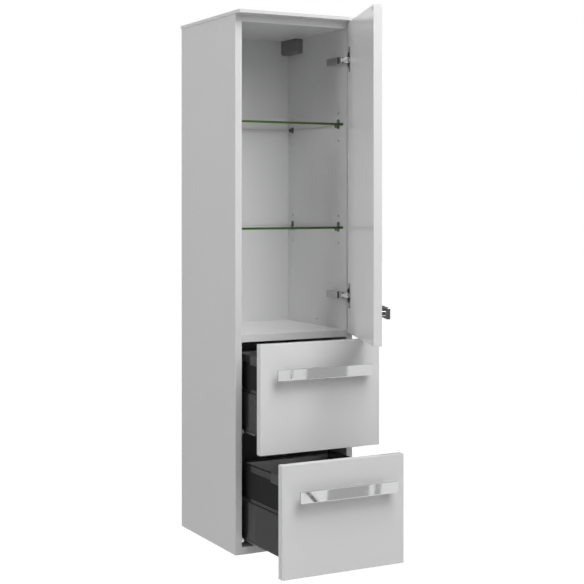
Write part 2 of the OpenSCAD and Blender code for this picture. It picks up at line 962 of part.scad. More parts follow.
module upper_side_left() {
    color(anthracite) at_upper() mirror([1, 0, 0]) drawer_side();
}

module upper_side_right() {
    color(anthracite) at_upper() drawer_side();
}

module upper_side_inserts() {
    color(dark) at_upper() drawer_inserts();
}

module upper_gallery_left() {
    color(anthracite) at_upper() mirror([1, 0, 0]) drawer_gallery();
}

module upper_gallery_right() {
    color(anthracite) at_upper() drawer_gallery();
}

module upper_front_brackets() {
    color(anthracite) at_upper() drawer_brackets();
}

module upper_back_wall() {
    color(anthracite) at_upper() drawer_back_wall();
}

module upper_bottom() {
    color(anthracite) at_upper() drawer_bottom();
}

module upper_handle() {
    color(bright) at_upper() handle_shape(-front_thickness, drawer_handle_z);
}

module upper_handle_studs() {
    color(steel) at_upper() handle_stud_pair(-front_thickness, drawer_handle_z, 0);
}

module upper_drawer_rails() {
    color(steel) at_upper() both_sides() drawer_rail();
}

module upper_middle_rails() {
    color(steel) translate([0, 0, upper_z]) middle_rail(upper_open);
}

module upper_cabinet_rails() {
    color(steel) both_sides() cabinet_rail(upper_z);
}

module lower_front() {
    color(white) at_lower() drawer_front();
}

module lower_side_left() {
    color(anthracite) at_lower() mirror([1, 0, 0]) drawer_side();
}

module lower_side_right() {
    color(anthracite) at_lower() drawer_side();
}

module lower_side_inserts() {
    color(dark) at_lower() drawer_inserts();
}

module lower_gallery_left() {
    color(anthracite) at_lower() mirror([1, 0, 0]) drawer_gallery();
}

module lower_gallery_right() {
    color(anthracite) at_lower() drawer_gallery();
}

module lower_front_brackets() {
    color(anthracite) at_lower() drawer_brackets();
}

module lower_back_wall() {
    color(anthracite) at_lower() drawer_back_wall();
}

module lower_bottom() {
    color(anthracite) at_lower() drawer_bottom();
}

module lower_handle() {
    color(bright) at_lower() handle_shape(-front_thickness, drawer_handle_z);
}

module lower_handle_studs() {
    color(steel) at_lower() handle_stud_pair(-front_thickness, drawer_handle_z, 0);
}

module lower_drawer_rails() {
    color(steel) at_lower() both_sides() drawer_rail();
}

module lower_middle_rails() {
    color(steel) middle_rail(lower_open);
}

module lower_cabinet_rails() {
    color(steel) both_sides() cabinet_rail(0);
}

module rail_screws() {
    color(steel) both_sides() for (z = [0, upper_z], step = rail_screw_steps)
        translate([x_in - rail_sheet, y_front + rail_front + step, z + rail_screw_rise])
            cross_screw_x(rail_sheet + rail_screw_depth - 1, rail_screw, rail_screw_head, 1.6);
}

side_panel_left();
side_panel_right();
top_panel();
cover_plate();
fixed_shelf();
bottom_panel();
back_panel();
carcass_dowels();
hanger_left();
hanger_right();
hanger_hooks();
hanger_cover_left();
hanger_cover_right();
hanger_screws();
glass_shelf_upper();
glass_shelf_lower();
shelf_supports_upper();
shelf_supports_lower();
hinge_plates();
hinge_arms();
hinge_plate_screws();
hinge_arm_covers();
hinge_outer_links();
hinge_inner_links();
hinge_cups();
hinge_cup_screws();
door_panel();
door_handle();
door_handle_studs();
door_bumpers();
upper_front();
upper_side_left();
upper_side_right();
upper_side_inserts();
upper_gallery_left();
upper_gallery_right();
upper_front_brackets();
upper_back_wall();
upper_bottom();
upper_handle();
upper_handle_studs();
upper_drawer_rails();
upper_middle_rails();
upper_cabinet_rails();
lower_front();
lower_side_left();
lower_side_right();
lower_side_inserts();
lower_gallery_left();
lower_gallery_right();
lower_front_brackets();
lower_back_wall();
lower_bottom();
lower_handle();
lower_handle_studs();
lower_drawer_rails();
lower_middle_rails();
lower_cabinet_rails();
rail_screws();
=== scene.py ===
"""Looks of a mid-height wall-hung bathroom cabinet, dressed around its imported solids.

Every length is in metres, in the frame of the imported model: the wall is the plane y = 0, the
fronts face -y, and z = 0 is the underside of the carcass. The script reads only the frame.
"""

from __future__ import annotations

import json
import logging
import math
from dataclasses import dataclass, field
from enum import Enum, IntEnum
from typing import Any, Iterable, Protocol, Sequence

import bpy
import numpy as np
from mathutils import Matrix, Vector

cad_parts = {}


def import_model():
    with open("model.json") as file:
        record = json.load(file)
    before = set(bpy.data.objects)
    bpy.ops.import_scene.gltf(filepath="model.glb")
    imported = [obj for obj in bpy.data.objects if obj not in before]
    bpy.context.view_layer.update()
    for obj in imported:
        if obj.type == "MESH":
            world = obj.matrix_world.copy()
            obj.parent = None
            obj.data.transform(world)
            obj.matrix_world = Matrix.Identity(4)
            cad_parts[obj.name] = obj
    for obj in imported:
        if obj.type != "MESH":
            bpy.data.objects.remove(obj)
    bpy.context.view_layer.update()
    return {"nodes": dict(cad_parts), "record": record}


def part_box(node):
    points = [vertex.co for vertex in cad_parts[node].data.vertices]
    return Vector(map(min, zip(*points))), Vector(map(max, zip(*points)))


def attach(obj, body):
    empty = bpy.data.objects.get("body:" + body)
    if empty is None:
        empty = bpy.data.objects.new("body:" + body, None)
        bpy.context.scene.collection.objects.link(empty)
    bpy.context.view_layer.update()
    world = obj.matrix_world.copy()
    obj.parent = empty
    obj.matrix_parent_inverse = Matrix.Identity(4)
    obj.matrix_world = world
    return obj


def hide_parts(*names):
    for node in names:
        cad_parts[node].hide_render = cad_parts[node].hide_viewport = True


LOG = logging.getLogger("cabinet")
MM = 0.001
TINY = 1e-6
Triple = tuple[float, float, float]
Colour = Triple
Stops = tuple[tuple[float, float], ...]
BLACK: Colour = (0.0, 0.0, 0.0)
WHITE: Colour = (1.0, 1.0, 1.0)


class Slot(Enum):
    """The record's material slots, each with one finish."""

    BOARD = "white_board"
    FRONT = "white_front"
    BEECH = "beech"
    GREY_BOARD = "grey_board"
    COATED = "anthracite_steel"
    BLACK = "black_steel"
    BRACKET = "anthracite_plastic"
    INSERT = "dark_insert"
    DARK = "dark_plastic"
    CLEAR = "clear_plastic"
    GLASS = "shelf_glass"
    ZINC = "zinc_steel"
    NICKEL = "nickel_steel"
    CHROME = "polished_chrome"


class Extra(Enum):
    """Finishes of single features and nodes, beside those of the slots."""

    GLASS_EDGE = "glass edge"
    # The bars' backs: darker plating, partly painted shade.
    BAR_BACK = "back of the handle bars"
    CLIP = "hinge arm clips"
    BURNISHED = "hinge cups and middle rails"
    POLISHED = "hinge links"
    BACK_WALL = "drawer back walls"


class Axis(IntEnum):
    """The axes of the frame."""

    X = 0
    Y = 1
    Z = 2


# Shader expressions


class Signal:
    """A value that flows out of a node. Operators on it add Math nodes."""

    def __init__(self, recipe: "Recipe", socket: bpy.types.NodeSocket | None) -> None:
        """Wraps one output socket of a recipe's tree, or none for an output node."""
        self.recipe = recipe
        self.socket = socket

    def _math(self, operation: str, *operands: "Signal | float") -> "Signal":
        """Adds a Math node.

        Args:
            operation: the Math node's operation.
            operands: its inputs in order, as signals or numbers.

        Returns:
            The node's result.
        """
        return self.recipe.node(
            "ShaderNodeMath", {"operation": operation}, dict(enumerate(operands))
        )

    def __add__(self, other: "Signal | float") -> "Signal":
        """Sum."""
        return self._math("ADD", self, other)

    __radd__ = __add__

    def __mul__(self, other: "Signal | float") -> "Signal":
        """Product."""
        return self._math("MULTIPLY", self, other)

    __rmul__ = __mul__

    def __sub__(self, other: "Signal | float") -> "Signal":
        """Difference."""
        return self._math("SUBTRACT", self, other)

    def __rsub__(self, other: float) -> "Signal":
        """A number less this signal."""
        return self._math("SUBTRACT", other, self)

    def clamped(self) -> "Signal":
        """The signal held between 0 and 1."""
        return self._math("MINIMUM", self._math("MAXIMUM", self, 0.0), 1.0)


@dataclass(frozen=True)
class Grain:
    """A noise pattern: waves for each metre, finer layers added, and a stretch of each axis."""

    waves: float
    layers: float = 2.0
    stretch: Triple = (1.0, 1.0, 1.0)


@dataclass(frozen=True)
class Relief:
    """A bump: its depth in metres and the share of it that is used."""

    depth: float
    share: float


class Recipe:
    """The node tree of a material or of the world, filled node by node."""

    mix_inputs = (6, 7)
    mix_output = 2

    def __init__(self, owner: bpy.types.Material | bpy.types.World) -> None:
        """Empties the owner's tree.

        Args:
            owner: the material or the world.
        """
        owner.use_nodes = True
        self.owner = owner
        self.tree = owner.node_tree
        self.tree.nodes.clear()

    @classmethod
    def named(cls, name: str) -> "Recipe":
        """The tree of a new material."""
        return cls(bpy.data.materials.new(name))

    def node(
        self,
        kind: str,
        settings: dict[str, Any] | None = None,
        inputs: dict[int | str, Any] | None = None,
        output: int | str = 0,
    ) -> Signal:
        """Adds one node.

        Args:
            kind: the node's type.
            settings: properties set first; "stops" fills a ramp with (place, grey) pairs.
            inputs: values or signals by socket name or number.
            output: the output that the result wraps.

        Returns:
            The chosen output.
        """
        made = self.tree.nodes.new(kind)
        for key, value in (settings or {}).items():
            if key == "stops":
                for element, (place, grey) in zip(made.color_ramp.elements, value):
                    element.position, element.color = place, (grey, grey, grey, 1)
            else:
                setattr(made, key, value)
        for key, value in (inputs or {}).items():
            socket = made.inputs[key]
            if isinstance(value, Signal):
                self.tree.links.new(value.socket, socket)
            elif isinstance(value, tuple) and socket.type == "RGBA":
                socket.default_value = (*value[:3], 1.0)
            else:
                socket.default_value = value
        return Signal(self, made.outputs[output] if made.outputs else None)

    def place(self, stretch: Triple = (1.0, 1.0, 1.0)) -> Signal:
        """Object coordinates.

        Args:
            stretch: the factor on each axis.

        Returns:
            The point, as a vector.
        """
        where = self.node("ShaderNodeTexCoord", output="Object")
        if stretch == (1.0, 1.0, 1.0):
            return where
        return self.node("ShaderNodeMapping", {}, {"Vector": where, "Scale": stretch})

    def noise(self, grain: Grain) -> Signal:
        """Noise around 0.5 on Object coordinates.

        Args:
            grain: its pattern.

        Returns:
            The noise's value.
        """
        where = self.place(grain.stretch)
        inputs = {"Vector": where, "Scale": grain.waves, "Detail": grain.layers}
        return self.node("ShaderNodeTexNoise", {}, inputs)

    def ramp(self, value: Signal, stops: Stops) -> Signal:
        """A grey that follows a value through two stops of place and grey."""
        return self.node("ShaderNodeValToRGB", {"stops": stops}, {"Fac": value})

    def blend(
        self, share: Signal | float, first: Colour | Signal, second: Colour | Signal
    ) -> Signal:
        """A colour between two.

        Args:
            share: 0 for the first, 1 for the second.
            first: a colour.
            second: another colour.

        Returns:
            The mixed colour.
        """
        a, b = self.mix_inputs
        inputs = {0: share, a: first, b: second}
        return self.node("ShaderNodeMix", {"data_type": "RGBA"}, inputs, self.mix_output)

    def bump(self, height: Signal, relief: Relief) -> Signal:
        """A normal from a height.

        Args:
            height: the relief's height, from 0 to 1.
            relief: its depth and share.

        Returns:
            The normal.
        """
        inputs = {"Strength": relief.share, "Distance": relief.depth, "Height": height}
        return self.node("ShaderNodeBump", {}, inputs)

    def direct_rays(self) -> Signal:
        """The flags of three kinds of ray, added and held at 1.

        Returns:
            1 for rays from the camera and for those that gloss or glass sends on, otherwise 0.
        """
        camera, glossy, transmission = (
            self.node("ShaderNodeLightPath", output=f"Is {kind} Ray")
            for kind in ("Camera", "Glossy", "Transmission")
        )
        return (camera + glossy + transmission).clamped()

    def finish(self, **sockets: Any) -> bpy.types.Material:
        """Ends the tree in a Principled shader.

        Args:
            sockets: its inputs, with underscores for spaces.

        Returns:
            The material.
        """
        inputs = {key.replace("_", " "): value for key, value in sockets.items()}
        shader = self.node("ShaderNodeBsdfPrincipled", {}, inputs)
        self.node("ShaderNodeOutputMaterial", {}, {"Surface": shader})
        return self.owner


# Finishes


class Finish(Protocol):
    """What every finish has."""

    name: str

    def make(self) -> bpy.types.Material:
        """Builds the material."""


@dataclass(frozen=True)
class Lacquer:
    """Gloss lacquer with a very faint orange peel."""

    name: str = "white_gloss_lacquer"
    colour: Colour = (0.865, 0.865, 0.868)
    cloud: Colour = (0.845, 0.846, 0.85)
    roughness: float = 0.14
    wiped: float = 0.05
    clouds: Grain = Grain(6.0, 3.0)
    wiping: Grain = Grain(35.0)
    peel: Grain = Grain(420.0, 1.0)
    relief: Relief = Relief(0.04 * MM, 0.35)

    def make(self) -> bpy.types.Material:
        """Builds the material.

        Returns:
            The material.
        """
        r = Recipe.named(self.name)
        return r.finish(
            Base_Color=r.blend(r.noise(self.clouds), self.colour, self.cloud),
            Roughness=self.roughness + self.wiped * r.noise(self.wiping),
            IOR=1.47,
            Normal=r.bump(r.noise(self.peel), self.relief),
        )


@dataclass(frozen=True)
class Foil:
    """Satin foil on board: fine pearls over fibres that run upright, and a mottled colour."""

    name: str = "white_board_foil"
    colour: Colour = (0.8, 0.8, 0.8)
    cloud: Colour = (0.74, 0.74, 0.74)
    roughness: float = 0.36
    spread: float = 0.12
    gleam: float = 0.22
    pearls: Grain = Grain(900.0)
    fibres: Grain = Grain(260.0, 2.0, (1.0, 1.0, 0.25))
    mottle: Grain = Grain(430.0)
    mottle_gain: float = 2.2
    mottle_start: float = 0.6
    clouds: Grain = Grain(9.0, 4.0)
    fine_share: float = 0.7
    relief: Relief = Relief(0.06 * MM, 0.6)

    def make(self) -> bpy.types.Material:
        """Builds the material.

        Returns:
            The material.
        """
        r = Recipe.named(self.name)
        fine, coarse = self.fine_share, 1 - self.fine_share
        pearls = r.noise(self.pearls)
        mottle = (r.noise(self.mottle) * self.mottle_gain - self.mottle_start).clamped()
        share = mottle * fine + r.noise(self.clouds) * coarse
        return r.finish(
            Base_Color=r.blend(share, self.colour, self.cloud),
            Roughness=self.roughness + self.spread * pearls,
            IOR=1.46,
            Specular_IOR_Level=self.gleam,
            Normal=r.bump(pearls * fine + r.noise(self.fibres) * coarse, self.relief),
        )


@dataclass(frozen=True)
class PowderCoat:
    """Powder coat on steel: a dense fine grain, lighter specks and a soft sheen."""

    name: str
    colour: Colour
    speck: Colour
    roughness: float = 0.42
    gleam: float = 0.5
    spread: float = 0.12
    grain: Grain = Grain(2600.0)
    specks: Grain = Grain(1500.0)
    speck_stops: Stops = ((0.55, 0.0), (0.72, 1.0))
    relief: Relief = Relief(0.05 * MM, 0.7)

    def make(self) -> bpy.types.Material:
        """Builds the material.

        Returns:
            The material.
        """
        r = Recipe.named(self.name)
        grain = r.noise(self.grain)
        specks = r.ramp(r.noise(self.specks), self.speck_stops)
        return r.finish(
            Base_Color=r.blend(specks, self.colour, self.speck),
            Roughness=self.roughness + self.spread * grain,
            Specular_IOR_Level=self.gleam,
            Normal=r.bump(grain, self.relief),
        )


@dataclass(frozen=True)
class PlatedSteel:
    """Plated sheet steel with rolling lines along y and faint cloudy patches."""

    name: str
    colour: Colour
    cloud: Colour
    roughness: float
    line_spread: float = 0.1
    cloud_spread: float = 0.06
    lines: Grain = Grain(1800.0, 3.0, (1.0, 0.06, 1.0))
    clouds: Grain = Grain(160.0, 4.0)
    relief: Relief = Relief(0.02 * MM, 0.5)

    def make(self) -> bpy.types.Material:
        """Builds the material.

        Returns:
            The material.
        """
        r = Recipe.named(self.name)
        lines, clouds = r.noise(self.lines), r.noise(self.clouds)
        return r.finish(
            Base_Color=r.blend(clouds, self.colour, self.cloud),
            Metallic=1.0,
            Roughness=self.roughness + self.line_spread * lines + self.cloud_spread * clouds,
            Normal=r.bump(lines, self.relief),
        )


@dataclass(frozen=True)
class PolishedChrome:
    """Bright chrome with faint handling marks and a fine haze."""

    name: str = "polished_chrome"
    colour: Colour = (0.58, 0.582, 0.585)
    roughness: float = 0.02
    mark_spread: float = 0.03
    haze_spread: float = 0.01
    marks: Grain = Grain(90.0, 6.0)
    mark_stops: Stops = ((0.45, 0.0), (0.8, 1.0))
    haze: Grain = Grain(700.0, 2.0, (0.1, 1.0, 1.0))

    def make(self) -> bpy.types.Material:
        """Builds the material.

        Returns:
            The material.
        """
        r = Recipe.named(self.name)
        marks, haze = r.ramp(r.noise(self.marks), self.mark_stops), r.noise(self.haze)
        return r.finish(
            Base_Color=self.colour,
            Metallic=1.0,
            Roughness=self.roughness + self.mark_spread * marks + self.haze_spread * haze,
        )


@dataclass(frozen=True)
class Moulded:
    """Moulded plastic with a spark-eroded grain, a little paler where it is handled."""

    name: str
    colour: Colour
    worn: Colour
    roughness: float = 0.45
    spread: float = 0.15
    grain: Grain = Grain(1700.0, 3.0)
    wear: Grain = Grain(40.0, 3.0)
    relief: Relief = Relief(0.08 * MM, 0.6)

    def make(self) -> bpy.types.Material:
        """Builds the material.

        Returns:
            The material.
        """
        r = Recipe.named(self.name)
        grain = r.noise(self.grain)
        return r.finish(
            Base_Color=r.blend(r.noise(self.wear), self.colour, self.worn),
            Roughness=self.roughness + self.spread * grain,
            Normal=r.bump(grain, self.relief),
        )


@dataclass(frozen=True)
class ClearPlastic:
    """Clear moulded plastic, a little milky, with flow marks."""

    name: str = "clear_plastic"
    colour: Colour = (0.5, 0.51, 0.505)
    roughness: float = 0.1
    spread: float = 0.12
    clearness: float = 0.85
    flow: Grain = Grain(300.0, 3.0)
    relief: Relief = Relief(0.05 * MM, 0.4)

    def make(self) -> bpy.types.Material:
        """Builds the material.

        Returns:
            The material.
        """
        r = Recipe.named(self.name)
        flow = r.noise(self.flow)
        return r.finish(
            Base_Color=self.colour,
            Roughness=self.roughness + self.spread * flow,
            IOR=1.49,
            Transmission_Weight=self.clearness,
            Normal=r.bump(flow, self.relief),
        )


@dataclass(frozen=True)
class SheetGlass:
    """Clear float glass, or its ground edge, where the green of the iron shows.

    Light that only casts a shadow passes straight through, tinted by the colour called passing.
    """

    name: str
    colour: Colour
    roughness: float
    clearness: float
    gleam: float = 0.5
    spread: float = 0.03
    passing: Colour = (0.925, 0.93, 0.925)
    smears: Grain = Grain(24.0, 4.0)

    def make(self) -> bpy.types.Material:
        """Builds the material.

        Returns:
            The material.
        """
        r = Recipe.named(self.name)
        body = r.node("ShaderNodeBsdfPrincipled", {}, {
            "Base Color": self.colour,
            "Roughness": self.roughness + self.spread * r.noise(self.smears),
            "IOR": 1.51,
            "Specular IOR Level": self.gleam,
            "Transmission Weight": self.clearness,
        })
        shadow = r.node("ShaderNodeLightPath", output="Is Shadow Ray")
        clear = r.node("ShaderNodeBsdfTransparent", {}, {"Color": self.passing})
        mixed = r.node("ShaderNodeMixShader", {}, {0: shadow, 1: body, 2: clear})
        r.node("ShaderNodeOutputMaterial", {}, {"Surface": mixed})
        return r.owner


@dataclass(frozen=True)
class BareWood:
    """Planed beech, with its short flecks along the dowels."""

    name: str = "bare_beech"
    colour: Colour = (0.5, 0.32, 0.17)
    fleck: Colour = (0.36, 0.2, 0.1)
    roughness: float = 0.5
    spread: float = 0.2
    grain: Grain = Grain(700.0, 4.0, (0.08, 1.0, 1.0))
    relief: Relief = Relief(0.1 * MM, 0.5)

    def make(self) -> bpy.types.Material:
        """Builds the material.

        Returns:
            The material.
        """
        r = Recipe.named(self.name)
        grain = r.noise(self.grain)
        return r.finish(
            Base_Color=r.blend(grain, self.colour, self.fleck),
            Roughness=self.roughness + self.spread * grain,
            Normal=r.bump(grain, self.relief),
        )


@dataclass
class FinishShop:
    """Makes each finish once and hands it out."""

    made: dict[Slot | Extra, bpy.types.Material] = field(default_factory=dict)

    def slot_recipes(self) -> dict[Slot, Finish]:
        """The finishes of the slots.

        Returns:
            The finish of every slot.
        """
        return {
            Slot.BOARD: Foil(),
            Slot.FRONT: Lacquer(),
            Slot.BEECH: BareWood(),
            Slot.GREY_BOARD: Foil("anthracite_foil", (0.05, 0.052, 0.056), (0.042, 0.043, 0.047)),
            Slot.COATED: PowderCoat(
                "anthracite_coat", (0.019, 0.019, 0.0202), (0.028, 0.028, 0.0295),
                roughness=0.12, gleam=1.0, relief=Relief(0.008 * MM, 0.7),
            ),
            Slot.BLACK: PowderCoat("black_coat", (0.012, 0.012, 0.013), (0.018, 0.018, 0.019)),
            Slot.BRACKET: Moulded(
                "anthracite_bracket", (0.036, 0.036, 0.038), (0.042, 0.042, 0.044)
            ),
            Slot.INSERT: PowderCoat(
                "dark_insert", (0.012, 0.012, 0.0125), (0.016, 0.016, 0.017),
                roughness=0.6, gleam=0.12,
            ),
            Slot.DARK: Moulded(
                "hanger_cap_plastic", (0.2, 0.2, 0.202), (0.22, 0.22, 0.222), roughness=0.28
            ),
            Slot.CLEAR: ClearPlastic(),
            Slot.GLASS: SheetGlass("shelf_glass", (0.98, 0.986, 0.98), 0.0, 1.0),
            Slot.ZINC: PlatedSteel("zinc_plate", (0.6, 0.61, 0.63), (0.5, 0.51, 0.53), 0.3),
            Slot.NICKEL: PlatedSteel(
                "nickel_plate", (0.5, 0.498, 0.495), (0.44, 0.438, 0.435), 0.26
            ),
            Slot.CHROME: PolishedChrome(),
        }

    def extra_recipes(self) -> dict[Extra, Finish]:
        """The finishes of single features and nodes.

        Returns:
            The finish of every one.
        """
        return {
            Extra.GLASS_EDGE: SheetGlass(
                "ground_glass_edge", (0.043, 0.096, 0.013), 0.3, 0.05, gleam=0.22
            ),
            # Darker, rougher plating on the bars' backs: partly an unpolished back, partly painted
            # shade for the dark reflection behind each bar.
            Extra.BAR_BACK: PlatedSteel(
                "unpolished_back_painted_shade", (0.2, 0.2, 0.204), (0.15, 0.15, 0.154), 0.36
            ),
            Extra.CLIP: Moulded("black_clip_plastic", (0.012, 0.012, 0.013), (0.016, 0.016, 0.017)),
            Extra.BURNISHED: PlatedSteel(
                "burnished_nickel", (0.3, 0.3, 0.3), (0.24, 0.24, 0.24), 0.32
            ),
            Extra.POLISHED: PlatedSteel(
                "polished_nickel", (0.48, 0.478, 0.475), (0.44, 0.438, 0.435), 0.2
            ),
            Extra.BACK_WALL: PlatedSteel(
                "back_wall_steel", (0.7, 0.7, 0.705), (0.64, 0.64, 0.645), 0.34
            ),
        }

    def open(self) -> None:
        """Makes all the finishes."""
        for use, finish in {**self.slot_recipes(), **self.extra_recipes()}.items():
            self.made[use] = finish.make()
            LOG.info("finish %s", finish.name)

    def of(self, use: Slot | Extra) -> bpy.types.Material:
        """The material of a slot or of a single feature."""
        return self.made[use]


# Surfaces


def round_rect(half: np.ndarray, radius: np.ndarray, steps: int) -> np.ndarray:
    """Closed outlines: each corner is a quarter circle about a centre set in by the radius.

    Args:
        half: rows of half the width and half the height, one for each outline.
        radius: the radius of each outline's corners.
        steps: points on each corner.

    Returns:
        Outlines by points, in order counter-clockwise, by the two coordinates.
    """
    radius = np.maximum(np.minimum(radius, half.min(-1)), TINY)[:, None, None, None]
    turn = np.linspace(0, math.pi / 2, steps)[None, :] + np.arange(4)[:, None] * math.pi / 2
    sign = np.array([[1, 1], [-1, 1], [-1, -1], [1, -1]], float)[:, None, :]
    arc = np.stack([np.cos(turn), np.sin(turn)], -1) * radius
    return (sign * (half[:, None, None, :] - radius) + arc).reshape(len(half), -1, 2)


@dataclass
class Skin:
    """Grids of points that become one closed mesh."""

    points: list[np.ndarray] = field(default_factory=list)
    faces: list[np.ndarray] = field(default_factory=list)
    kinds: list[int] = field(default_factory=list)
    count: int = 0

    def ring_grid(self, grid: np.ndarray, wall: int = 0, side: int | None = None) -> None:
        """Adds rings of points joined into a wall, with a flat face of material 0 on each end.

        Args:
            grid: rings by points by coordinates, each ring counter-clockwise about its way on.
            wall: material number of the wall.
            side: material number of the strip that closes each ring, if it has its own.
        """
        rings, around, _ = grid.shape
        row, step = np.meshgrid(np.arange(rings - 1), np.arange(around), indexing="ij")
        ahead = (step + 1) % around
        below, above = row * around, (row + 1) * around
        quads = np.stack([below + step, below + ahead, above + ahead, above + step], -1)
        last = (rings - 1) * around + self.count
        self.faces += [*(quads.reshape(-1, 4) + self.count)]
        self.faces += [np.arange(around)[::-1] + self.count, np.arange(around) + last]
        kinds = np.full((rings - 1, around), wall)
        if side is not None:
            kinds[:, -1] = side
        self.kinds += [*kinds.ravel().tolist(), 0, 0]
        self.points.append(grid.reshape(-1, 3))
        self.count += rings * around

    def slab(
        self,
        low: Sequence[float],
        high: Sequence[float],
        way: Axis,
        corner: float,
        edge: float,
        steps: int = 5,
        wall: int = 0,
        side: int | None = None,
    ) -> None:
        """Adds a rounded block: outlines carried along one axis, drawn in near both ends.

        The outline shrinks by edge * (1 - sin t) while it moves on by edge * cos t, which rounds
        the end edges with the radius edge.

        Args:
            low: lowest corner.
            high: highest corner.
            way: the axis it is carried along.
            corner: radius of the edges along that axis.
            edge: radius of the edges at the ends.
            steps: points on each rounding.
            wall: material number of the wall.
            side: material number of the side towards the next axis, if it has its own.
        """
        low, high = np.array(low, float), np.array(high, float)
        middle, half = (low + high) / 2, (high - low) / 2
        a, b = (way + 1) % 3, (way + 2) % 3
        turn = np.linspace(0, math.pi / 2, steps)
        inset = edge * (1 - np.sin(turn))
        along = half[way] - edge + edge * np.cos(turn)
        inset = np.concatenate([inset, inset[::-1]])
        outline = round_rect(half[[a, b]] - inset[:, None], corner - inset, steps)
        grid = np.empty((*outline.shape[:2], 3))
        grid[..., a], grid[..., b] = outline[..., 0], outline[..., 1]
        grid[..., way] = np.concatenate([-along, along[::-1]])[:, None]
        self.ring_grid(grid + middle, wall, side)

    def turned(
        self, profile: np.ndarray, centre: Sequence[float], way: Axis, sign: int = 1,
        around: int = 32,
    ) -> None:
        """Adds a turned form: each ring is a circle whose radius the profile gives.

        Args:
            profile: rows of distance along the axis and radius.
            centre: the axis point at distance 0.
            way: the axis.
            sign: 1 along the axis, or -1 against it.
            around: points on a ring.
        """
        a, b = (way + 1) % 3, (way + 2) % 3
        turn = np.linspace(0, 2 * math.pi, around, endpoint=False) * sign
        grid = np.empty((len(profile), around, 3))
        grid[..., a] = profile[:, 1:2] * np.cos(turn)
        grid[..., b] = profile[:, 1:2] * np.sin(turn)
        grid[..., way] = profile[:, :1] * sign
        self.ring_grid(grid + np.array(centre, float))

    def piece(
        self, name: str, materials: Iterable[bpy.types.Material], smooth_under: float = 40.0
    ) -> bpy.types.Object:
        """Makes the mesh object, smooth where faces meet at less than an angle.

        Args:
            name: the piece's name.
            materials: its materials in order.
            smooth_under: the angle in degrees.

        Returns:
            The object, at the origin.
        """
        mesh = bpy.data.meshes.new(name)
        mesh.from_pydata(np.concatenate(self.points).tolist(), [], [f.tolist() for f in self.faces])
        mesh.polygons.foreach_set("material_index", np.array(self.kinds, np.int32))
        mesh.set_sharp_from_angle(angle=math.radians(smooth_under))
        for material in materials:
            mesh.materials.append(material)
        made = bpy.data.objects.new(name, mesh)
        bpy.context.scene.collection.objects.link(made)
        flat = made.modifiers.new("even_normals", "WEIGHTED_NORMAL")
        flat.keep_sharp = True
        flat.weight = 100
        return made


def turn_upright(points: np.ndarray, pivot: Sequence[float], degrees: float) -> np.ndarray:
    """Turns points about an upright axis.

    Args:
        points: rows of x, y and z.
        pivot: x and y of the axis.
        degrees: the angle, counter-clockwise from above.

    Returns:
        The turned points.
    """
    angle = math.radians(degrees)
    matrix = np.array(
        [[math.cos(angle), -math.sin(angle), 0], [math.sin(angle), math.cos(angle), 0], [0, 0, 1]]
    )
    centre = np.array([pivot[0], pivot[1], 0.0])
    return (points - centre) @ matrix.T + centre


def settle(made: bpy.types.Object, body: str, replaced: Sequence[str] = ()) -> None:
    """Sets a piece on its body.

    Args:
        made: the piece.
        body: the body it rides on.
        replaced: nodes that it stands for.
    """
    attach(made, body)
    if replaced:
        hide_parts(*replaced)
    LOG.info("piece %s rides on %s", made.name, body)


# The cabinet's sub-assemblies


@dataclass(frozen=True)
class Carcass:
    """Sizes of the carcass that other parts refer to."""

    half_width: float = 0.150
    board: float = 0.016
    front: float = -0.304
    hinge_levels: tuple[float, float] = (0.568, 1.110)

    @property
    def inner(self) -> float:
        """Half the clear width between the side panels."""
        return self.half_width - self.board


@dataclass(frozen=True)
class DoorPose:
    """Where the closed door stands, and how the hinges bring it to the shown pose.

    The outer links turn about their pivot in the arms while the door turns about the pivot in
    its cups, so a point is turned about the second pivot first and then about the first.
    """

    carcass: Carcass
    opening: float = 70.4
    link_share: float = -0.312
    arm_pivot: tuple[float, float] = (-11.0 * MM, 5.0 * MM)
    cup_pivot: tuple[float, float] = (7.7 * MM, -6.5 * MM)
    margin: float = 1.5 * MM
    standoff: float = 2.0 * MM

    def place(self, points: np.ndarray) -> np.ndarray:
        """Moves points of the closed door.

        Args:
            points: rows of x, y and z.

        Returns:
            The points at rest.
        """
        corner = np.array([self.carcass.inner, self.carcass.front])
        cup, arm = corner + self.cup_pivot, corner + self.arm_pivot
        turned = turn_upright(points, cup, (1 - self.link_share) * self.opening)
        return turn_upright(turned, arm, self.link_share * self.opening)


@dataclass(frozen=True)
class Handle:
    """A flat bar on two posts. Its frame: x along the bar, y = 0 at the front's face."""

    half_length: float = 117.9 * MM
    height: float = 24.5 * MM
    thickness: float = 6.5 * MM
    reach: float = 24.95 * MM
    edge: float = 1.2 * MM
    post_inset: float = 16.0 * MM
    post: tuple[float, float] = (9.0 * MM, 10.0 * MM)
    post_corner: float = 1.2 * MM
    post_edge: float = 0.02 * MM
    steps: int = 6

    def skin(self) -> Skin:
        """The bar and its posts as rounded blocks.

        Returns:
            The blocks, with material 1 on the bar's back, whose darker plating is partly an
            unpolished back and partly painted shade.
        """
        skin = Skin()
        half, inner = self.height / 2, -self.reach + self.thickness
        skin.slab(
            (-self.half_length, -self.reach, -half), (self.half_length, inner, half),
            Axis.X, self.edge, self.edge, self.steps, side=1,
        )
        for side in (-1, 1):
            middle = side * (self.half_length - self.post_inset)
            skin.slab(
                (middle - self.post[0] / 2, inner, -self.post[1] / 2),
                (middle + self.post[0] / 2, 0, self.post[1] / 2),
                Axis.Y, self.post_corner, self.post_edge, self.steps,
            )
        return skin


